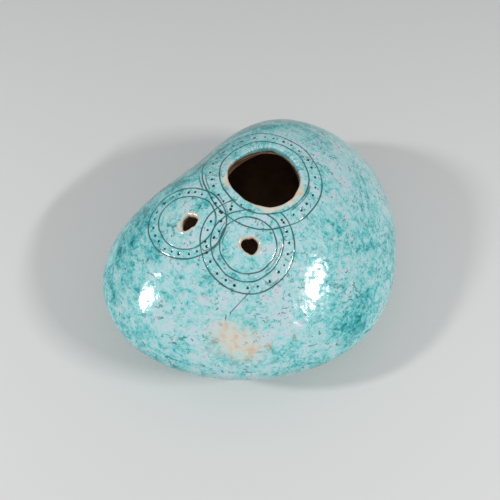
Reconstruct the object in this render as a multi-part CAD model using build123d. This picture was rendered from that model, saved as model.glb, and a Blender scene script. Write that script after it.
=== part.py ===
from build123d import *

import math
import os

# A hollow studio-pottery vase in the shape of a plump pebble, in millimetres. +Z is up, and the
# origin is the middle of the flat foot that it stands on.
#
# The clay is two half shells, luted together along a level seam with a coil pressed over the join
# inside. A wide mouth opens at the crown, and two stem holes lie beside it, each with its own lip.
# A glaze coat covers the outside down to just above the bare foot, and a dark wash the inside.

# ---- the pebble --------------------------------------------------------------------------------
PLAN_RADIUS = 115.0  # mean radius of the widest outline, seen from above
PLAN_LOBES = {2: (-0.038, 0.139), 3: (-0.040, -0.046)}  # order: cosine and sine shares of that radius
GIRTH_HEIGHT = 33.5  # height of the widest outline over the middle of the foot
GIRTH_SLOPE = (-0.083, -0.102)  # rise of the widest outline per millimetre along X and Y
CROWN_POINT = (-1.0, 14.0)  # where the sections close in over the top
CROWN_HEIGHT = 116.5
CROWN_SLOPE = (-0.049, 0.133)  # rise of the crown per millimetre along X and Y
CROWN_PINCH = 0.32  # how much leaner than an ellipse the upper half is on its way down
KEEL_HEIGHT = -2.7  # where the round underside would end if the foot didn't flatten it

# ---- walls and coats ---------------------------------------------------------------------------
GLAZE = 0.8
WALL = 7.0
WASH = 0.6
CLAY_INSIDE = GLAZE + WALL  # from the skin in to the clay's inner face
WASH_INSIDE = CLAY_INSIDE + WASH
FOOT_BARE = 4.0  # the glaze stops this high above the table
SEAM_HEIGHT = 36.0
COIL_THICK = 4.0
COIL_HALF_HEIGHT = 6.0

# ---- openings ----------------------------------------------------------------------------------
# Each has its middle on the pebble's skin, its outward direction, its mean radius, its lobes as in
# the plan outline, the width of the lip round it and how far the lip stands proud of the glaze.
# The stem holes are round, so they have no lobes.
OPENINGS = {
    "mouth": {
        "middle": (-1.3, 6.2, 112.6),
        "outward": (0.055, -0.155, 0.986),
        "radius": 23.2,
        "lobes": {2: (0.057, -0.022), 3: (-0.022, 0.006), 4: (0.025, -0.012)},
        "lip": 5.2,
        "proud": 0.6,
    },
    "left_stem": {
        "middle": (-54.6, -24.3, 102.2),
        "outward": (-0.268, -0.240, 0.933),
        "radius": 5.4,
        "lobes": {},
        "lip": 2.8,
        "proud": 0.4,
    },
    "middle_stem": {
        "middle": (-11.8, -42.5, 99.9),
        "outward": (0.057, -0.412, 0.909),
        "radius": 5.6,
        "lobes": {},
        "lip": 2.6,
        "proud": 0.4,
    },
}

AROUND = 28  # points round each section of the pebble
RISES = (-78, -66, -54, -42, -30, -18, -6, 6, 18, 30, 42, 54, 66, 78)  # section angles, keel to crown
MOUTH_POINTS = 24
PUNCH_BELOW = 40.0  # a punch starts this far under the skin
PUNCH_LENGTH = 60.0
PROBE = 1e-4  # step in radians for the surface's direction
REACH = 400.0  # larger than anything in the part


def lobed(radius, lobes, turn):
    """A round outline's radius at the angle turn, with its lobes added."""
    share = sum(c * math.cos(n * turn) + s * math.sin(n * turn) for n, (c, s) in lobes.items())
    return radius * (1 + share)


def skin_point(turn, rise):
    """A point of the skin: turn goes round, and rise from the keel at -pi/2 to the crown at pi/2."""
    radius = lobed(PLAN_RADIUS, PLAN_LOBES, turn)
    girth_x, girth_y = radius * math.cos(turn), radius * math.sin(turn)
    girth_z = GIRTH_HEIGHT + GIRTH_SLOPE[0] * girth_x + GIRTH_SLOPE[1] * girth_y
    out, along = math.cos(rise), abs(math.sin(rise))
    if rise < 0:
        return Vector(out * girth_x, out * girth_y, girth_z + (KEEL_HEIGHT - girth_z) * along)
    x = CROWN_POINT[0] + out * (girth_x - CROWN_POINT[0])
    y = CROWN_POINT[1] + out * (girth_y - CROWN_POINT[1])
    top = CROWN_HEIGHT + CROWN_SLOPE[0] * (x - CROWN_POINT[0]) + CROWN_SLOPE[1] * (y - CROWN_POINT[1])
    return Vector(x, y, girth_z + (top - girth_z) * along * (1 - CROWN_PINCH * out**2))


def inset_point(turn, rise, inset):
    """The skin's point moved straight inwards by inset."""
    point = skin_point(turn, rise)
    across = skin_point(turn + PROBE, rise) - skin_point(turn - PROBE, rise)
    upward = skin_point(turn, rise + PROBE) - skin_point(turn, rise - PROBE)
    return point - across.cross(upward).normalized() * inset


def section(rise, inset):
    """The points round the pebble at one rise, moved inwards by inset."""
    return [inset_point(2 * math.pi * i / AROUND, rise, inset) for i in range(AROUND)]


def pole(rise, inset):
    """The end vertex at the keel or the crown, as the middle of a tiny section beside it."""
    ring = section(rise * (1 - PROBE), inset)
    return Vertex(*(sum(ring, Vector(0, 0, 0)) / AROUND))


def slab(low, high):
    """A wide level block from the height low to the height high."""
    block = Box(2 * REACH, 2 * REACH, high - low, align=(Align.CENTER, Align.CENTER, Align.MIN))
    return Pos(0, 0, low) * block


def pebble(inset, floor):
    """The solid pebble with its skin moved inwards by inset, cut flat at the height floor."""
    outlines = [pole(-math.pi / 2, inset)]
    for rise in RISES:
        outlines.append(Wire([Edge.make_spline(section(math.radians(rise), inset), periodic=True)]))
    outlines.append(pole(math.pi / 2, inset))
    return Solid.make_loft(outlines) & slab(floor, REACH)


def outline(radius, lobes):
    """An opening's outline as a flat face about the origin: a circle, or a lobed round."""
    if not lobes:
        return Face(Wire([Edge.make_circle(radius)]))
    points = []
    for i in range(MOUTH_POINTS):
        turn = 2 * math.pi * i / MOUTH_POINTS
        r = lobed(radius, lobes, turn)
        points.append(Vector(r * math.cos(turn), r * math.sin(turn), 0))
    return Face(Wire([Edge.make_spline(points, periodic=True)]))


def punch(opening, margin):
    """A long prism through an opening, wider than it by the margin all round."""
    seat = Plane(origin=opening["middle"], x_dir=(1, 0, 0), z_dir=opening["outward"])
    face = outline(opening["radius"] + margin, opening["lobes"])
    return seat * Pos(0, 0, -PUNCH_BELOW) * extrude(face, amount=PUNCH_LENGTH, dir=(0, 0, 1))


def write(name, shape):
    """Writes one node's STEP file."""
    export_step(Compound(label=name, children=list(shape.solids())), f"parts/{name}.step")


os.makedirs("parts", exist_ok=True)

skin = pebble(0, 0)
clay = pebble(GLAZE, 0)
cavity = pebble(CLAY_INSIDE, CLAY_INSIDE)
lining = pebble(WASH_INSIDE, WASH_INSIDE)
seats = [punch(opening, opening["lip"]) for opening in OPENINGS.values()]

# The clay: a bowl, and a crown with round seats cut in it for the three lips.
shell = clay - cavity
write("lower_shell", shell & slab(0, SEAM_HEIGHT))
write("upper_shell", (shell & slab(SEAM_HEIGHT, REACH)) - seats)

# The coil that covers the join inside.
coil_band = slab(SEAM_HEIGHT - COIL_HALF_HEIGHT, SEAM_HEIGHT + COIL_HALF_HEIGHT)
coil = (cavity - pebble(CLAY_INSIDE + COIL_THICK, 0)) & coil_band
write("seam_coil", coil)

# The lips, each as deep as the wall with both of its coats.
for name, opening in OPENINGS.items():
    ring = punch(opening, opening["lip"]) - punch(opening, 0)
    write(f"{name}_lip", (ring & pebble(-opening["proud"], 0)) - lining)

# The glaze outside, which meets at the seam and leaves the foot bare.
glaze = skin - clay
write("lower_glaze", glaze & slab(FOOT_BARE, SEAM_HEIGHT))
write("upper_glaze", (glaze & slab(SEAM_HEIGHT, REACH)) - seats)

# The wash inside, which runs over the coil.
wash_band = slab(SEAM_HEIGHT - COIL_HALF_HEIGHT - WASH, SEAM_HEIGHT + COIL_HALF_HEIGHT + WASH)
washed_coil = (cavity - pebble(CLAY_INSIDE + COIL_THICK + WASH, 0)) & wash_band
room = lining - washed_coil
write("inner_wash", ((cavity - coil) - room) - seats)
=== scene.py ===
import bpy
import numpy as np
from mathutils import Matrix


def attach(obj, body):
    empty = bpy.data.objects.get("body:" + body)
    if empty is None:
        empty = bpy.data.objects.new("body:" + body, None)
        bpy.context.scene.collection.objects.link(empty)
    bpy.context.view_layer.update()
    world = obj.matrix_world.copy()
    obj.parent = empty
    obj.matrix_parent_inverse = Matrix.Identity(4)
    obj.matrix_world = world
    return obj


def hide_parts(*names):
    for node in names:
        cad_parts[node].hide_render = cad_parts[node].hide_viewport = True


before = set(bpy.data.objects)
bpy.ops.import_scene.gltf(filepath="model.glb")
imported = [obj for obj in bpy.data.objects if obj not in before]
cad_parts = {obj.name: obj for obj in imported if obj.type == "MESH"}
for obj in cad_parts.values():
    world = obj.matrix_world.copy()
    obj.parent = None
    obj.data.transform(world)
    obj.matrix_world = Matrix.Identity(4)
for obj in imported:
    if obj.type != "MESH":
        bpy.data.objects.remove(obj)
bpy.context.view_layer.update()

# ---- The clay bowl, the clay crown and the coil between them -------------------------------------
# Two press-moulded halves of buff stoneware, luted together along a level seam, with a coil of the
# same clay thumbed over the join inside. Only the foot stays bare, where the bowl stood on the kiln
# shelf; everywhere else the clay is under a coat.


class Value:
    """One socket's value in a material. Each operator on it adds the node that works it out."""

    def __init__(self, socket):
        self.socket = socket

    def node(self, kind, settings, inputs, output=0):
        """Any node: its settings are set first, a ramp's stops among them, then each socket gets
        its value or its link."""
        tree = self.socket.id_data
        made = tree.nodes.new(kind)
        for name, setting in settings.items():
            if name == "stops":
                for place, shade in setting[1:-1]:
                    made.color_ramp.elements.new(place)
                for stop, (place, shade) in zip(made.color_ramp.elements, setting):
                    stop.position, stop.color = place, shade
            else:
                setattr(made, name, setting)
        for name, value in inputs.items():
            if isinstance(value, Value):
                tree.links.new(value.socket, made.inputs[name])
            else:
                made.inputs[name].default_value = value
        return Value(made.outputs[output])

    def maths(self, operation, first, second):
        """One Math node on two values or numbers."""
        return self.node("ShaderNodeMath", {"operation": operation}, {0: first, 1: second})

    def __add__(self, other):
        return self.maths("ADD", self, other)

    def __sub__(self, other):
        return self.maths("SUBTRACT", self, other)

    def __rsub__(self, other):
        return self.maths("SUBTRACT", other, self)

    def __mul__(self, other):
        return self.maths("MULTIPLY", self, other)

    def __truediv__(self, other):
        return self.maths("DIVIDE", self, other)

    def __pow__(self, other):
        return self.maths("POWER", self, other)

    __radd__ = __add__
    __rmul__ = __mul__

    def ease(self, low, high):
        """0 below low, 1 above high, and a smooth step between."""
        settings = {"interpolation_type": "SMOOTHSTEP"}
        sockets = {"Value": self, "From Min": low, "From Max": high}
        return self.node("ShaderNodeMapRange", settings, sockets)

    def noise(self, scale, detail, roughness=0.5, warp=0.0):
        """Cloudy noise about 0.5 on this place, with scale features to the metre."""
        sockets = {"Vector": self, "Scale": scale, "Detail": detail}
        sockets |= {"Roughness": roughness, "Distortion": warp}
        return self.node("ShaderNodeTexNoise", {}, sockets)

    def moved(self, shift):
        """This place shifted, so that a second noise on it differs from the first."""
        return self.node("ShaderNodeMapping", {}, {"Vector": self, "Location": shift})

    def parts(self):
        """The three numbers of this place."""
        split = self.node("ShaderNodeSeparateXYZ", {}, {0: self}).socket.node
        return [Value(socket) for socket in split.outputs]

    def mix(self, first, second):
        """A colour that goes from the first to the second as this mask goes from 0 to 1."""
        return self.node("ShaderNodeMix", {"data_type": "RGBA"}, {0: self, 6: first, 7: second}, 2)

    def bump(self, depth, strength):
        """The normal that this height gives, where 1 stands depth metres over 0."""
        sockets = {"Strength": strength, "Distance": depth, "Height": self}
        return self.node("ShaderNodeBump", {}, sockets)


def colour(red, green, blue):
    """A colour as a socket takes it, from the 0 to 255 values of a screen."""
    screen = np.array([red, green, blue]) / 255
    linear = np.where(screen > 0.04045, ((screen + 0.055) / 1.055) ** 2.4, screen / 12.92)
    return (*linear.tolist(), 1.0)


def new_material(name):
    """A fresh material, its Principled shader and the place on the object that it colours."""
    material = bpy.data.materials.new(name)
    material.use_nodes = True
    nodes = material.node_tree.nodes
    place = Value(nodes.new("ShaderNodeTexCoord").outputs["Object"])
    return material, nodes["Principled BSDF"], place


def wire(shader, **values):
    """Links values to the shader's sockets, whose names have spaces for underscores."""
    for name, value in values.items():
        socket = shader.inputs[name.replace("_", " ")]
        socket.id_data.links.new(value.socket, socket)


def clay_material():
    """Bare buff stoneware: a warm ground with iron specks, dull and faintly gritty."""
    material, shader, place = new_material("bare_stoneware")
    ground = place.noise(60, 4)
    specks = place.noise(900, 1).ease(0.66, 0.72)
    body = ground.mix(colour(196, 172, 142), colour(168, 140, 108))
    wire(shader, Base_Color=specks.mix(body, colour(92, 66, 48)), Roughness=0.78 + 0.12 * ground)
    wire(shader, Normal=place.noise(1400, 3).bump(0.0003, 0.5))
    return material


stoneware = clay_material()
for node in ("lower_shell", "upper_shell", "seam_coil"):
    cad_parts[node].material_slots[0].material = stoneware


# ---- The dark wash inside ------------------------------------------------------------------------
# An iron-brown slip swilled round the closed form and poured out again before the glazing. It covers
# the wall, the thumbed coil and the floor, and is a little thicker and shinier where it pooled.

MM = 0.001
PLAN_RADIUS = 115 * MM
PLAN_LOBES = {2: (-0.038, 0.139), 3: (-0.040, -0.046)}
GIRTH_HEIGHT = 33.5 * MM
GIRTH_SLOPE = (-0.083, -0.102)
CROWN_POINT = (-1 * MM, 14 * MM)
CROWN_HEIGHT = 116.5 * MM
CROWN_SLOPE = (-0.049, 0.133)
CROWN_PINCH = 0.32
KEEL_HEIGHT = -2.7 * MM
SEAM_HEIGHT = 36 * MM


def lobed(radius, lobes, angle):
    """A circle with lobes: the radius times 1 plus each order's cosine and sine share."""
    shares = (c * np.cos(n * angle) + s * np.sin(n * angle) for n, (c, s) in lobes.items())
    return radius * (1 + sum(shares))


def pebble(turn, rise):
    """The pot's even skin. The widest outline is a circle with two and three lobes, lying in a
    tilted plane. From it the sections close in with the cosine of the rise: upwards to a tilted
    crown, leaner than an ellipse by the pinch, and downwards to the keel as an ellipse."""
    girth_x = lobed(PLAN_RADIUS, PLAN_LOBES, turn) * np.cos(turn)
    girth_y = lobed(PLAN_RADIUS, PLAN_LOBES, turn) * np.sin(turn)
    girth_z = GIRTH_HEIGHT + GIRTH_SLOPE[0] * girth_x + GIRTH_SLOPE[1] * girth_y
    out, along = np.cos(rise), np.abs(np.sin(rise))
    above = rise > 0
    x = np.where(above, CROWN_POINT[0] + out * (girth_x - CROWN_POINT[0]), out * girth_x)
    y = np.where(above, CROWN_POINT[1] + out * (girth_y - CROWN_POINT[1]), out * girth_y)
    crown = CROWN_HEIGHT + CROWN_SLOPE[0] * (x - CROWN_POINT[0])
    crown = crown + CROWN_SLOPE[1] * (y - CROWN_POINT[1])
    upper = girth_z + (crown - girth_z) * along * (1 - CROWN_PINCH * out**2)
    lower = girth_z + (KEEL_HEIGHT - girth_z) * along
    return np.stack([x, y, np.where(above, upper, lower)], axis=-1)


def unit(vectors):
    """Each vector of an array divided by its length."""
    return vectors / np.linalg.norm(vectors, axis=-1, keepdims=True)


def outward(turn, rise):
    """The even skin's outward direction, from the cross product of its slopes along turn and rise."""
    step = 1e-4
    across = pebble(turn + step, rise) - pebble(turn - step, rise)
    upward = pebble(turn, rise + step) - pebble(turn, rise - step)
    return unit(np.cross(across, upward))


def ease(value, low, high):
    """0 below low, 1 above high, and a smooth cubic step between."""
    step = np.clip((value - low) / (high - low), 0, 1)
    return step * step * (3 - 2 * step)


def waves(place, shortest, longest, count, seed):
    """Even noise of about unit size: the sum of many sine waves that run in all directions, with
    wavelengths between the shortest and the longest, and random starts."""
    draw = np.random.default_rng(seed)
    headings = unit(draw.normal(size=(count, 3)))
    lengths = draw.uniform(shortest, longest, count)
    starts = draw.uniform(0, 2 * np.pi, count)
    phases = place @ (headings * (2 * np.pi / lengths)[:, None]).T + starts
    return np.sin(phases).sum(axis=-1) * np.sqrt(2 / count)


class Opening:
    """A hole through the crown: its middle, the way it faces, and its outline's radius and lobes."""

    def __init__(self, middle, facing, radius, lobes):
        self.middle, self.radius, self.lobes = np.array(middle) * MM, radius * MM, lobes
        self.facing = unit(np.array(facing))
        self.right = unit(np.cross((0, 1, 0), self.facing))
        self.up = np.cross(self.facing, self.right)

    def across(self, place):
        """How far places lie from the middle along the two axes of the opening's plane."""
        return (place - self.middle) @ self.right, (place - self.middle) @ self.up

    def depth(self, place):
        """How far places lie under the opening's plane."""
        return (self.middle - place) @ self.facing

    def margin(self, place):
        """How far outside the outline places lie, across the opening's plane."""
        first, second = self.across(place)
        return np.hypot(first, second) - lobed(self.radius, self.lobes, np.arctan2(second, first))


MOUTH_LOBES = {2: (0.027, -0.014), 3: (-0.021, 0.006), 4: (0.013, -0.006)}
mouth = Opening((-1.5, 8.3, 112.9), (0.055, -0.155, 0.986), 24.8, MOUTH_LOBES)
LEFT_LOBES = {2: (0.06, 0.10), 3: (0.05, -0.03)}
left_stem = Opening((-54.6, -24.3, 102.2), (-0.268, -0.240, 0.933), 5.4, LEFT_LOBES)
MIDDLE_LOBES = {2: (0.03, -0.04), 3: (-0.04, 0.03)}
middle_stem = Opening((-11.8, -42.5, 99.9), (0.057, -0.412, 0.909), 5.6, MIDDLE_LOBES)
stems = (left_stem, middle_stem)

HALVINGS = 40
WARP_SAMPLES = 4001
COLUMNS = 584
DECORATED_SIDE = np.radians(238)
DECORATED_SPREAD = np.radians(62)
CROWDING = 1.1
MOUTH_SPAN = (0.5, 1.56)  # rises well outside the mouth and in its middle
HEIGHT_SPAN = (-1.45, 1.0)  # rises under the foot's edge and high on the crown


def search(passed, low, high):
    """The rises between low and high where a test that fails at low and passes at high changes
    over, by halving the span again and again."""
    for _ in range(HALVINGS):
        middle = (low + high) / 2
        over = passed(middle)
        low, high = np.where(over, low, middle), np.where(over, middle, high)
    return (low + high) / 2


def crowded(count, middle, spread, strength):
    """Angles once round the pot that crowd together about a middle one, from a smooth warp."""
    even = np.linspace(0, 1, WARP_SAMPLES)
    density = 1 + strength * np.exp(-(((even * 2 * np.pi - middle) / spread) ** 4))
    total = np.concatenate([[0], np.cumsum((density[1:] + density[:-1]) / 2)])
    shares = np.linspace(0, 1, count, endpoint=False)
    return np.interp(shares, total / total[-1], even) * 2 * np.pi


turns = crowded(COLUMNS, DECORATED_SIDE, DECORATED_SPREAD, CROWDING)
level = np.zeros_like(turns)


def mouth_rises(margin):
    """For every turn, the rise at which the skin lies a margin outside the mouth's outline."""
    low, high = MOUTH_SPAN
    return search(lambda rise: mouth.margin(pebble(turns, rise)) < margin, level + low, level + high)


def height_rises(height):
    """For every turn, the rise at which the skin has a height."""
    low, high = HEIGHT_SPAN
    return search(lambda rise: pebble(turns, rise)[:, 2] > height, level + low, level + high)


def rows_between(first, last, count):
    """Rows of numbers in even steps from the first to the last."""
    return first + (last - first) * np.linspace(0, 1, count)[:, None]


def grid_normals(places):
    """The outward direction at each place of a grid, from its neighbours along both directions."""
    down = np.gradient(places, axis=0)
    along = (np.roll(places, -1, axis=1) - np.roll(places, 1, axis=1)) / 2
    return unit(np.cross(down, along))


def grid_piece(name, places, normals, material, pole=False, **coats):
    """A piece from a grid of places, whose rows run outwards from an opening, or from a pole that is
    the whole first row, and whose columns go once round and close up. Faces with a missing corner
    are left out. Each coat is a number for every place, which the material reads by its name."""
    rows, columns = places.shape[:2]
    index = np.arange(rows * columns).reshape(rows, columns)
    following = np.roll(index, -1, axis=1)
    top = int(pole)
    quads = [index[top:-1], index[top + 1:], following[top + 1:], following[top:-1]]
    quads = np.stack(quads, axis=-1).reshape(-1, 4)
    tips = np.stack([np.full(columns, index[0, 0]), index[1], following[1]], axis=-1)[:columns * top]
    flat = places.reshape(-1, 3)
    quads = quads[~np.isnan(flat[quads]).any(axis=(1, 2))]
    used, corners = np.unique(np.concatenate([tips.ravel(), quads.ravel()]), return_inverse=True)
    starts = np.concatenate([np.arange(0, tips.size, 3), tips.size + np.arange(0, quads.size, 4)])
    mesh = bpy.data.meshes.new(name)
    mesh.vertices.add(len(used))
    mesh.vertices.foreach_set("co", flat[used].ravel())
    mesh.loops.add(corners.size)
    mesh.loops.foreach_set("vertex_index", corners.ravel())
    mesh.polygons.add(len(starts))
    mesh.polygons.foreach_set("loop_start", starts)
    mesh.update(calc_edges=True)
    mesh.polygons.foreach_set("use_smooth", np.ones(len(starts), bool))
    mesh.normals_split_custom_set_from_vertices(normals.reshape(-1, 3)[used])
    for coat, amounts in coats.items():
        layer = mesh.attributes.new(coat, "FLOAT", "POINT")
        layer.data.foreach_set("value", amounts.ravel()[used].astype(np.float32))
    mesh.materials.append(material)
    piece = bpy.data.objects.new(name, mesh)
    bpy.context.scene.collection.objects.link(piece)
    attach(piece, "root")
    return piece


WASH_INSET = 8.4 * MM
COIL_THICK = 4 * MM
STEM_FLANGE = 2.2 * MM
UNDER_LIP = 3 * MM  # how far outside the mouth the wash begins, hidden under the lip
SHOULDER = 0.45  # the rise where the rows change their spacing
CROWN_ROWS, FLOOR_ROWS = 90, 60


def wash_material():
    """Dark iron-brown slip with slow clouds, dull where it is thin and satin where it is thick."""
    material, shader, place = new_material("iron_brown_wash")
    clouds = place.noise(35, 4)
    slip = clouds.ease(0.35, 0.65).mix(colour(172, 138, 106), colour(132, 100, 72))
    wire(shader, Base_Color=slip, Roughness=0.72 - 0.2 * clouds)
    wire(shader, Normal=place.noise(110, 3).bump(0.0006, 0.6))
    return material


def lining(turn, rise):
    """The inner wall: the skin moved straight inwards by the wall and some lumps, with a rounded
    swelling over the coil that thumbs have pressed into waves, and a flat floor."""
    place = pebble(turn, rise)
    thumbed = 1.05 + 0.1 * np.sin(24 * turn + 2 * np.sin(3 * turn))
    from_seam = np.abs(place[..., 2] - SEAM_HEIGHT)
    swelling = COIL_THICK * thumbed * (1 - ease(from_seam, 9 * MM, 13 * MM))
    lumps = 0.25 * MM * np.abs(waves(place, 14 * MM, 40 * MM, 24, seed=11))
    inner = place - outward(turn, rise) * (WASH_INSET + swelling + lumps)[..., None]
    inner[..., 2] = np.maximum(inner[..., 2], WASH_INSET)
    return inner


crown_part = rows_between(mouth_rises(UNDER_LIP), level + SHOULDER, CROWN_ROWS)
lower_part = rows_between(level + SHOULDER, level - np.pi / 2 + 1e-3, FLOOR_ROWS)[1:]
wash_rises = np.concatenate([crown_part, lower_part])
wash_turns = np.broadcast_to(turns, wash_rises.shape)
wash = lining(wash_turns, wash_rises)
wash_facing = -grid_normals(wash)
wash[-1] = wash[-1].mean(axis=0)
wash_facing[-2:] = (0, 0, 1)

# The wash leaves room for the stem lips, and its last row closes up in the middle of the floor.
skin_above = pebble(wash_turns, wash_rises)
for stem in stems:
    under_stem = (stem.margin(skin_above) < STEM_FLANGE) & (wash_rises > 0)
    wash = np.where(under_stem[..., None], np.nan, wash)
inner_coat = grid_piece("inner_wash_coat", wash[::-1], wash_facing[::-1], wash_material(), pole=True)
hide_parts("inner_wash")


# ---- The incised rings and punched dots ----------------------------------------------------------
# Scratched freehand with a needle through the leather-hard skin: two rings round the mouth, two round
# the left stem hole and three round the middle one, all a little off round and crossing freely, with
# a band of dots punched between the outer two of each. Dark glaze lies in every cut.


class Ring:
    """A hand-drawn ring about an opening: where its middle is across the opening's plane, its radius,
    its second and third lobes as (size, direction), and the tremor of the hand, all in millimetres."""

    def __init__(self, opening, middle, radius, second, third, beat, tremor=0.14):
        self.opening, self.middle, self.radius = opening, middle, radius
        self.lobes = {2: second, 3: third, beat: (tremor, beat * 0.7), beat + 4: (tremor * 0.6, beat)}

    def polar(self, place):
        """Places about the ring's middle: their distance from it and their angle round it."""
        first, second = self.opening.across(place)
        first, second = first / MM - self.middle[0], second / MM - self.middle[1]
        return np.hypot(first, second), np.arctan2(second, first)

    def at(self, angle):
        """The ring's radius at an angle: each lobe adds its size times a cosine."""
        lobes = self.lobes.items()
        return self.radius + sum(size * np.cos(n * angle - toward) for n, (size, toward) in lobes)


NEEDLE = 0.55  # a cut's reach to either side, as a share of its width
mouth_inner = Ring(mouth, (-0.5, 0.85), 31.3, (1.0, -0.81), (0.72, 0.91), beat=7)
mouth_outer = Ring(mouth, (-2.1, 1.2), 42.2, (2.2, -1.25), (1.2, 0.65), beat=8, tremor=0.2)
left_inner = Ring(left_stem, (-2.0, 1.3), 20.8, (1.1, -1.04), (0.7, 1.07), beat=6)
left_outer = Ring(left_stem, (-2.9, 1.5), 28.3, (1.7, -0.95), (0.4, 0.52), beat=8)
middle_inner = Ring(middle_stem, (-1.4, 0.4), 19.6, (0.1, 3.4), (0.2, 0.9), beat=7)
middle_second = Ring(middle_stem, (-2.0, 0.8), 24.9, (0.26, 1.9), (0.66, 1.74), beat=9)
middle_outer = Ring(middle_stem, (-1.6, 0.7), 32.7, (0.68, -2.06), (0.48, 1.5), beat=6)


def stroke(place, ring, aside=0.0, width=1.0, arc=None, drift=0.0):
    """A needle line along a ring: 1 in the middle of the cut and 0 beyond its width. It may lie aside
    of the ring and drift outwards with the angle, and it may be an arc, given as the angles of its
    middle and of half its length in degrees."""
    distance, angle = ring.polar(place)
    middle, half = np.radians(arc or (0, 180))
    along = (angle - middle + np.pi) % (2 * np.pi) - np.pi
    off = distance - ring.at(angle) - aside - (drift * along if arc else 0)
    pressed = 0.85 + 0.15 * np.sin(3 * angle + ring.radius) * np.sin(8 * angle)
    line = pressed * np.exp(-((off / (NEEDLE * width)) ** 2))
    return line if arc is None else line * (1 - ease(np.abs(along), half - 0.1, half))


def scratch(place, opening, start, end, width):
    """A straight needle line between two places across an opening's plane, in millimetres."""
    first, second = opening.across(place)
    first, second = first / MM - start[0], second / MM - start[1]
    run = np.subtract(end, start)
    share = np.clip((first * run[0] + second * run[1]) / (run @ run), 0, 1)
    off = np.hypot(first - share * run[0], second - share * run[1])
    return np.exp(-((off / (NEEDLE * width)) ** 2))


def dots(place, inner, outer, count, start):
    """Punched dots midway between two rings, evenly spaced but for a wander along and across the
    band: 1 in each dot and 0 outside it."""
    distance, angle = outer.polar(place)
    step = 2 * np.pi / count
    number = np.round(angle / step - start) % count
    along = (number + start + 0.10 * np.sin(number * 2.3) + 0.06 * np.sin(number * 5.1)) * step
    shift = np.subtract(inner.middle, outer.middle) / 2
    reach = (inner.at(along) + outer.at(along)) / 2 + 0.4 * np.sin(number * 3.7)
    first = distance * np.cos(angle) - reach * np.cos(along) - shift[0]
    second = distance * np.sin(angle) - reach * np.sin(along) - shift[1]
    size = 0.92 + 0.12 * np.sin(number * 1.7)
    pressed = 0.85 + 0.15 * np.sin(number * 4.1)
    return np.exp(-((np.hypot(first, second) / size) ** 4)) * pressed


MOUTH_CLEAR = (4.5 * MM, 5.5 * MM)  # nothing is cut nearer, and all is cut further off
STEM_CLEAR = (3.4 * MM, 5.0 * MM)
MIDDLE_BAND = 26  # the reach of the middle hole's second ring, in millimetres


def open_glaze(place):
    """1 on the open glaze, and 0 on the mouth's lip and on the stem lips, where nothing is cut."""
    clear = ease(mouth.margin(place), *MOUTH_CLEAR)
    for stem in stems:
        clear = clear * ease(stem.margin(place), *STEM_CLEAR)
    return clear


RING_WIDTHS = (
    (mouth_inner, 1.1), (mouth_outer, 1.0), (left_inner, 1.0), (left_outer, 1.1),
    (middle_inner, 1.0), (middle_second, 1.0), (middle_outer, 1.0),
)


def incised(place):
    """The cut lines: the rings, the second strokes where the needle went round again or overshot,
    and one long slip across the front."""
    strokes = [stroke(place, ring, width=width) for ring, width in RING_WIDTHS]
    strokes += [
        0.8 * stroke(place, mouth_outer, -2.2, 0.8, (186, 15), 1.5),
        0.8 * stroke(place, mouth_outer, 2.2, 0.8, (184, 14), -1.0),
        0.7 * stroke(place, mouth_inner, 1.4, 1.2, (-32, 26), -0.5),
        0.9 * stroke(place, left_outer, -0.8, 0.8, (-50, 15), 4.0),
        0.8 * stroke(place, left_outer, 0.7, 0.8, (-48, 13), 4.0),
        0.7 * stroke(place, left_outer, 1.5, 0.8, (14, 22), 1.5),
        0.7 * stroke(place, middle_inner, -2.2, 0.8, (163, 20), 2.0),
        0.7 * stroke(place, middle_inner, 1.8, 0.8, (150, 18), -2.0),
        0.7 * stroke(place, middle_second, -1.8, 0.9, (-28, 30), 0.8),
        0.6 * scratch(place, middle_stem, (5.0, -25.8), (0.7, -31.5), 0.6),
        0.75 * scratch(place, middle_stem, (0.7, -31.5), (-16.6, -50.9), 0.8),
    ]
    return np.max(strokes, axis=0) * open_glaze(place)


def punched(place):
    """The dots in the three bands. The mouth's band has none inside the middle stem hole's rings."""
    from_middle, _ = middle_second.polar(place)
    bands = [
        dots(place, mouth_inner, mouth_outer, 30, 0.33) * (from_middle > MIDDLE_BAND),
        dots(place, left_inner, left_outer, 23, 0.45),
        dots(place, middle_second, middle_outer, 23, 0.32),
    ]
    return np.max(bands, axis=0) * open_glaze(place)


# ---- The mottled glaze ---------------------------------------------------------------------------
# A white tin glaze with copper turquoise sponged and brushed over it in several coats, fired glossy.
# It is fed one coat on the crown and one on the bowl, which meet over the seam, and it stops in a
# thick rolled edge a few millimetres above the foot.

# The broad patches along the far rim, down both sides and round the low front band, where the pot's
# outline lies as the camera sees it, are painted shade that darkens the glaze towards its edges. The
# small patches are copper.
COPPER_AND_EDGE_SHADE = (  # the copper patches and the painted shade along the outline: the middle of each patch, its reach, and how much more of it
    ((-12, 90, 82), 34, 0.62), ((-46, 68, 76), 32, 0.50), ((-76, 34, 76), 24, 0.30),
    ((30, 84, 92), 22, 0.20), ((-10, 60, 104), 12, 0.15),
    ((-98, -25, 60), 36, 0.26), ((-110, -60, 45), 26, 0.20), ((-84, 22, 80), 30, 0.28),
    ((-60, -90, 40), 22, 0.14), ((10, -112, 30), 40, 0.14), ((63, -26, 92), 9, 0.22),
    ((45, -70, 76), 10, 0.26), ((62, -78, 50), 24, 0.22), ((98, -18, 50), 30, 0.16),
    ((-20, -62, 88), 7, 0.16), ((-52, 32, 104), 20, 0.20), ((-34, -52, 93), 8, 0.10),
)
LEAN = (  # where the white shows, in the same way
    ((0, -84, 75), 30, 0.16), ((-46, -86, 72), 24, 0.10), ((18, -46, 96), 16, 0.08),
    ((60, 50, 96), 34, 0.08), ((-60, -24, 100), 16, 0.06), ((-14, -42, 100), 14, 0.05),
)
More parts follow.
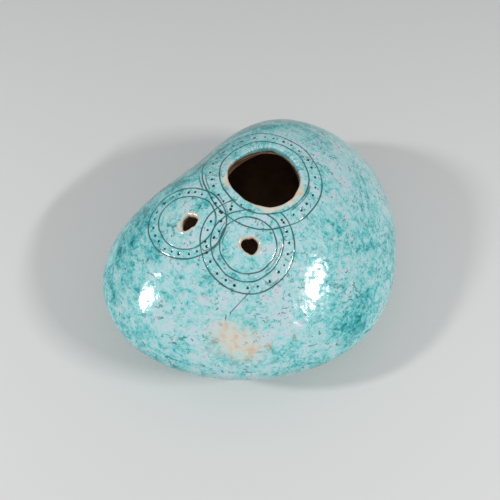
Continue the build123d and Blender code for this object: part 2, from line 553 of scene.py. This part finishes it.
CREAM = (  # where the glaze ran thin and fired cream
    ((-30, -94, 70), 15, 0.8), ((-15, -101, 62), 14, 0.7), ((5, -58, 90), 5, 0.55),
    ((-31, -22, 108), 6, 0.5), ((-4, -96, 62), 9, 0.4), ((19, -95, 60), 4, 0.7),
)
BARE_LIP = (  # where the glaze drew back furthest from the mouth's lip
    ((-27, 8, 112), 12, 1.0), ((13, -13, 110), 20, 1.4), ((-4, -16, 109), 8, 0.4),
)
RUST = (  # iron specks that bled through the cream
    ((1, -101, 64), 2.8, 0.75), ((18, -93, 64), 2.5, 0.65), ((-7, -99, 66), 2.8, 0.4),
)
PLAIN_COPPER = 0.40  # the copper between the patches


def patches(place, spots):
    """The sum of round patches that fade with the square of the distance from their middles."""
    total = np.zeros(place.shape[:-1])
    for middle, reach, much in spots:
        squares = ((place - np.array(middle) * MM) ** 2).sum(axis=-1)
        total += much * np.exp(-squares / (reach * MM) ** 2)
    return total


def unevenness(place):
    """How far the hand-worked skin stands off the even one: slow swells from the paddle, shorter
    dents, and the ripple of a brushed glaze. It stays within 0.3 mm of a middle 0.33 mm under it."""
    swells = 0.07 * waves(place, 26 * MM, 55 * MM, 24, seed=3)
    dents = 0.045 * waves(place, 9 * MM, 17 * MM, 32, seed=5)
    ripple = 0.028 * waves(place, 3.6 * MM, 7 * MM, 48, seed=8)
    return (0.30 * np.tanh((swells + dents + ripple) / 0.30) - 0.33) * MM


def near_openings(place):
    """How thin the glaze lies beside the openings, where it drew back from the lips: all round the
    stem lips, and on the mouth's lip little but for its bare patches."""
    wobble = 1.0 * MM * waves(place, 5 * MM, 14 * MM, 24, seed=21)
    near_mouth = 1 - ease(mouth.margin(place) + wobble, 1.2 * MM, 5.0 * MM)
    thin = (0.2 + patches(place, BARE_LIP)) * near_mouth
    for stem in stems:
        near_stem = 1 - ease(stem.margin(place) + 0.7 * wobble, 1.0 * MM, 3.2 * MM)
        thin = np.maximum(thin, near_stem)
    return thin


def washed(place):
    """Where the wash shows down the walls of the openings: 1 under its ragged edge, 0 above it."""
    wobble = 0.5 * MM * waves(place, 4 * MM, 12 * MM, 24, seed=31)
    in_mouth = ease(mouth.depth(place) + wobble, 5.2 * MM, 6.0 * MM)
    deep = [in_mouth * (mouth.margin(place) < 8 * MM)]
    for stem in stems:
        in_stem = ease(stem.depth(place) + wobble, 2.6 * MM, 3.6 * MM)
        deep.append(in_stem * (stem.margin(place) < 6 * MM))
    return np.max(deep, axis=0)


def glaze_coats(place):
    """The broad coats of the glaze, at places on the even skin."""
    # The copper coat also carries the painted shade along the outline.
    copper = PLAIN_COPPER + patches(place, COPPER_AND_EDGE_SHADE) - patches(place, LEAN)
    cream = np.maximum(near_openings(place), patches(place, CREAM))
    return {"copper": copper, "cream": cream, "rust": patches(place, RUST)}


def glaze_material():
    """White glaze under copper turquoise. The copper's share of the surface comes from the broad
    patches, some of which are painted shade along the outline, from clouds and from a fine brushed
    mottling, and a ramp turns it into colour; dark flecks, cream where the glaze is thin, rust spots,
    and dark glaze in the cuts lie over it."""
    material, shader, place = new_material("mottled_turquoise_glaze")

    def coat(name):
        """The number that the mesh carries for one of its coats."""
        return place.node("ShaderNodeAttribute", {"attribute_name": name}, {}, "Fac")

    # Brushed round the pot: marks are drawn out along the turn, and more so towards the rim.
    x, y, z = place.parts()
    east, north = x - CROWN_POINT[0], y - CROWN_POINT[1]
    spread = (east * east + north * north) ** 0.5 + 1e-5
    around = {0: 0.3 * x + 0.048 * east / spread, 1: 0.3 * y + 0.048 * north / spread}
    around[2] = 0.8 * (spread - z)
    brushed = place.node("ShaderNodeCombineXYZ", {}, around)

    clouds = place.noise(48, 3, 0.6)
    mottle = brushed.noise(140, 3, 0.8, 0.6)
    grain = place.noise(420, 3, 0.9)
    # The coat brings the painted shade along the outline into the ramp together with the copper.
    copper = coat("copper") + 0.9 * (clouds - 0.5) + 1.5 * (mottle - 0.5)
    copper = copper + 0.95 * (grain - 0.5)
    stops = (
        (0.00, colour(204, 204, 216)), (0.18, colour(188, 216, 220)), (0.42, colour(154, 212, 213)),
        (0.62, colour(100, 192, 194)), (0.80, colour(34, 158, 162)), (1.00, colour(0, 104, 110)),
    )
    glaze = copper.node("ShaderNodeValToRGB", {"stops": stops}, {0: copper})

    flecks = brushed.moved((0.1, 0.7, 0.3)).noise(320, 3, 0.7, 0.8)
    flecks = flecks + 0.3 * (place.noise(60, 2) - 0.5)
    flecked = (0.8 * flecks.ease(0.57, 0.66)).mix(glaze, colour(54, 118, 122))
    smudges = brushed.moved((0.9, 0.1, 0.5)).noise(240, 2, 0.6)
    greyed = (0.35 * smudges.ease(0.55, 0.75)).mix(flecked, colour(140, 168, 172))

    tint = place.noise(170, 3, 0.6)
    thin = (coat("cream") * (0.25 + 1.2 * tint + 0.6 * (grain - 0.5))).ease(0.2, 0.95)
    cream = tint.ease(0.42, 0.72).mix(colour(214, 211, 198), colour(208, 184, 156))
    creamed = thin.mix(greyed, cream)
    rust = (coat("rust") * (2.2 * grain - 0.2)).ease(0.15, 0.85)
    rusted = rust.mix(creamed, colour(170, 116, 62))

    pooled = place.noise(100, 2)
    cuts = coat("cut") * (0.72 + 0.5 * pooled)
    dark = pooled.mix(colour(14, 88, 88), colour(62, 98, 98))
    lined = cuts.ease(0.05, 0.75).mix(rusted, dark)
    dotted = coat("dot").ease(0.05, 0.5).mix(lined, colour(26, 54, 60))
    washed_over = coat("wash").mix(dotted, colour(104, 78, 54))
    gloss = 0.10 + 0.10 * place.noise(200, 2)
    wire(shader, Base_Color=washed_over, Roughness=gloss + 0.5 * coat("wash"))
    wire(shader, Normal=place.noise(320, 3).bump(0.0003, 0.35))
    shader.inputs["IOR"].default_value = 1.55
    return material


mottled = glaze_material()

GLAZE_THICK = 0.8 * MM
LIP_WIDTH = 4.4 * MM
CUT_DEPTH = 0.26 * MM
DOT_DEPTH = 0.34 * MM
STEM_DIP = 0.35 * MM
FOOT_BARE = 4.0 * MM
BURR = 0.05 * MM
HOLE_EDGE = 1.4 * MM  # the crown's coat stops this far outside a stem hole, under its lip
DECORATED = 0.66  # how much of the way from the mouth to the girth has fine rows
FINE_ROWS, COARSE_ROWS, BOWL_ROWS = 142, 27, 25

# Rows down the crown: fine over the decorated part, coarser below it, and so on down the bowl.
lip_rises = mouth_rises(LIP_WIDTH)
seam_rises = height_rises(SEAM_HEIGHT)
edge_out = np.cos(lip_rises)
fine_rises = np.arccos(rows_between(edge_out, edge_out + (1 - edge_out) * DECORATED, FINE_ROWS))
coarse_rises = rows_between(fine_rises[-1], seam_rises, COARSE_ROWS)[1:]
ragged = 0.5 * np.sin(3 * turns + 1) + 0.3 * np.sin(11 * turns) + 0.2 * np.sin(23 * turns)
bowl_rises = rows_between(seam_rises, height_rises(FOOT_BARE + ragged * MM), BOWL_ROWS)[1:]
all_rises = np.concatenate([fine_rises, coarse_rises, bowl_rises])
all_turns = np.broadcast_to(turns, all_rises.shape)

even_skin = pebble(all_turns, all_rises)
facing = outward(all_turns, all_rises)
coats = glaze_coats(even_skin)
coats["cut"] = incised(even_skin)
coats["dot"] = punched(even_skin)
coats["wash"] = np.zeros(all_rises.shape)
burr = BURR * np.sin(np.pi * ease(coats["cut"], 0.0, 0.35))
relief = unevenness(even_skin) - CUT_DEPTH * coats["cut"] - DOT_DEPTH * coats["dot"] + burr
for stem in stems:
    near_stem = 1 - ease(stem.margin(even_skin), 2.4 * MM, 4.2 * MM)
    relief -= STEM_DIP * near_stem * (all_rises > 0)
relief = np.clip(relief, -0.95 * GLAZE_THICK, -0.01 * MM)
coat_places = even_skin + facing * relief[..., None]
coat_facing = grid_normals(coat_places)
for stem in stems:
    over_hole = (stem.margin(even_skin) < HOLE_EDGE) & (all_rises > 0)
    coat_places = np.where(over_hole[..., None], np.nan, coat_places)

seam_row = len(fine_rises) + len(coarse_rises)
crown_coats = {name: amounts[:seam_row] for name, amounts in coats.items()}
crown, crown_facing = coat_places[:seam_row], coat_facing[:seam_row]
crown_glaze = grid_piece("crown_glaze", crown, crown_facing, mottled, **crown_coats)
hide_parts("upper_glaze")

# The bowl's coat ends in a bead, as (distance down, distance out), that turns in to the clay.
BEAD = np.array([(0.35, 0.10), (0.62, -0.10), (0.72, -0.45), (0.6, -0.85)]) * MM
downward = unit(coat_places[-1] - coat_places[-2])
rolled = np.stack([coat_places[-1] + downward * down + facing[-1] * out for down, out in BEAD])
bowl = np.concatenate([coat_places[seam_row - 1:], rolled])
bowl_facing = np.concatenate([coat_facing[seam_row - 1:-1], grid_normals(bowl)[-len(rolled) - 1:]])
bowl_coats = {
    name: np.concatenate([amounts[seam_row - 1:], np.repeat(amounts[-1:], len(rolled), axis=0)])
    for name, amounts in coats.items()
}
bowl_glaze = grid_piece("bowl_glaze", bowl, bowl_facing, mottled, **bowl_coats)
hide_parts("lower_glaze")


# ---- The three lips ------------------------------------------------------------------------------
# Each opening's rim is a pressed ring of clay, smoothed over with a wet finger. The glaze ran thin
# over its rounded edge, so that it fired cream, and down the wall to the ragged edge of the wash.


NEWTON_STEPS = 14


def on_skin(opening, first, second):
    """The turn and rise of the skin over places across an opening's plane, by Newton's method from
    the direction and distance of those places from the crown point."""
    guess = opening.middle + first[:, None] * opening.right + second[:, None] * opening.up
    offset = guess[:, :2] - CROWN_POINT
    turn = np.arctan2(offset[:, 1], offset[:, 0])
    rise = np.arccos(np.minimum(np.linalg.norm(offset, axis=-1) / PLAN_RADIUS, 0.9))
    step = 1e-5
    for _ in range(NEWTON_STEPS):
        here = np.stack(opening.across(pebble(turn, rise)))
        by_turn = (np.stack(opening.across(pebble(turn + step, rise))) - here) / step
        by_rise = (np.stack(opening.across(pebble(turn, rise + step))) - here) / step
        miss = np.stack([first, second]) - here
        scale = by_turn[0] * by_rise[1] - by_turn[1] * by_rise[0]
        turn = turn + (miss[0] * by_rise[1] - miss[1] * by_rise[0]) / scale
        rise = rise + (by_turn[0] * miss[1] - by_turn[1] * miss[0]) / scale
    return turn, rise


def rounded(points, steps):
    """A smooth profile through a few points, as a Catmull-Rom curve with some steps to each span."""
    points = np.array(points, float)
    ends = np.concatenate([[2 * points[0] - points[1]], points, [2 * points[-1] - points[-2]]])
    t = np.linspace(0, 1, steps, endpoint=False)[:, None]
    spans = [
        0.5 * (2 * b + (c - a) * t + (2 * a - 5 * b + 4 * c - d) * t**2 + (3 * b - a - 3 * c + d) * t**3)
        for a, b, c, d in zip(ends, ends[1:], ends[2:], ends[3:])
    ]
    return np.concatenate([*spans, points[-1:]])


def lip(name, node, opening, angles, profile, wander):
    """A lip's mesh: a profile of (distance outside the edge, height over the skin) in millimetres is
    carried round the opening, whose edge wanders in and out by a function of the angle."""
    rows, thin, wash_rows = [], [], []
    for out, up in profile:
        inside = 1 - ease(out, 1.0, 4.0)
        reach = lobed(opening.radius, opening.lobes, angles) + (out + wander(angles) * inside) * MM
        turn, rise = on_skin(opening, reach * np.cos(angles), reach * np.sin(angles))
        base = pebble(turn, rise)
        worked = unevenness(base) * ease(up, -3.0, 0.0)
        place = base + outward(turn, rise) * worked[:, None] + opening.facing * up * MM
        rows.append(place)
        thin.append(near_openings(base))
        wash_rows.append(washed(place))
    places = np.stack(rows)
    lip_coats = glaze_coats(places)
    lip_coats["cream"], lip_coats["wash"] = np.stack(thin), np.stack(wash_rows)
    lip_coats["cut"] = lip_coats["dot"] = np.zeros(places.shape[:-1])
    turned = {coat: amounts[::-1] for coat, amounts in lip_coats.items()}
    piece = grid_piece(name, places[::-1], grid_normals(places[::-1]), mottled, **turned)
    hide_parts(node)


def wandering(cosines):
    """A function of the angle, in millimetres: the sum of (order, size, start) cosines."""
    return lambda angle: sum(size * np.cos(order * angle - start) for order, size, start in cosines)


MOUTH_PROFILE = rounded([
    (LIP_WIDTH / MM, 0), (3.2, 0.03), (2.0, 0.0), (1.0, -0.28), (0.3, -1.0), (0.0, -2.4),
    (0.05, -4.0), (0.1, -5.6), (0.5, -7.2), (1.6, -8.4), (4.2, -8.8),
], 5)
mouth_wander = wandering(((5, 0.20, 1), (9, 0.14, 0), (16, 0.08, 2)))
lip_first, lip_second = mouth.across(pebble(turns, lip_rises))
mouth_angles = np.arctan2(lip_second, lip_first)
lip("mouth_lip_glazed", "mouth_lip", mouth, mouth_angles, MOUTH_PROFILE, mouth_wander)

STEM_PROFILE = rounded([
    (4.4, -0.5), (3.4, -0.12), (2.4, 0.1), (1.5, 0.02), (0.6, -0.6), (0.1, -1.8),
    (0.0, -3.4), (0.0, -5.4), (0.3, -7.4), (1.4, -8.6), (3.6, -8.8),
], 4)
left_wander = wandering(((3, 0.30, 0.4), (5, 0.20, 2), (8, 0.12, 1)))
middle_wander = wandering(((3, 0.15, 2.2), (5, 0.12, 0), (7, 0.10, 3)))
stem_angles = np.linspace(0, 2 * np.pi, 144, endpoint=False)
lip("left_stem_lip_glazed", "left_stem_lip", left_stem, stem_angles, STEM_PROFILE, left_wander)
lip("middle_stem_lip_glazed", "middle_stem_lip", middle_stem, stem_angles, STEM_PROFILE, middle_wander)


# ---- The stand, the light and the camera ---------------------------------------------------------
# A plain pale table under a soft sky, with a soft box on each side and the camera above and in front.

bpy.ops.mesh.primitive_plane_add(size=12, location=(0, 0, 0))
table = bpy.context.object
table.name = "table"
table_top, table_shader, _ = new_material("pale_table")
table_shader.inputs["Base Color"].default_value = colour(218, 218, 216)
table_shader.inputs["Roughness"].default_value = 0.6
table.data.materials.append(table_top)

world = bpy.data.worlds.new("studio")
world.use_nodes = True
world.node_tree.nodes["Background"].inputs["Color"].default_value = (0.95, 0.97, 1.0, 1.0)
world.node_tree.nodes["Background"].inputs["Strength"].default_value = 0.40
bpy.context.scene.world = world


def soft_box(name, towards, distance, size, power):
    """A rectangular light that faces the pot from a direction."""
    lamp = bpy.data.lights.new(name, "AREA")
    lamp.shape = "RECTANGLE"
    lamp.size, lamp.size_y = size
    lamp.energy = power
    light = bpy.data.objects.new(name, lamp)
    light.location = (unit(np.array(towards)) * distance).tolist()
    light.rotation_euler = light.location.to_track_quat("Z", "Y").to_euler()
    bpy.context.scene.collection.objects.link(light)


soft_box("left_box", (-0.757, -0.235, 0.605), 1.3, (0.11, 0.13), 6.5)
soft_box("right_box", (0.677, -0.366, 0.639), 1.3, (0.34, 0.04), 7.5)

lens = bpy.data.cameras.new("camera")
lens.sensor_width = 36
lens.lens = 47.3
lens.clip_start = 0.01
camera = bpy.data.objects.new("camera", lens)
looking_down = np.radians(55.57)
aim, distance = np.array([-11.9, 22.2, 0.0]) * MM, 564 * MM
backward = np.array([0.0, -np.cos(looking_down), np.sin(looking_down)])
camera.location = (aim + backward * distance).tolist()
camera.rotation_euler = (float(np.pi / 2 - looking_down), 0, 0)
bpy.context.scene.collection.objects.link(camera)
bpy.context.scene.camera = camera
bpy.context.scene.view_settings.view_transform = "Standard"
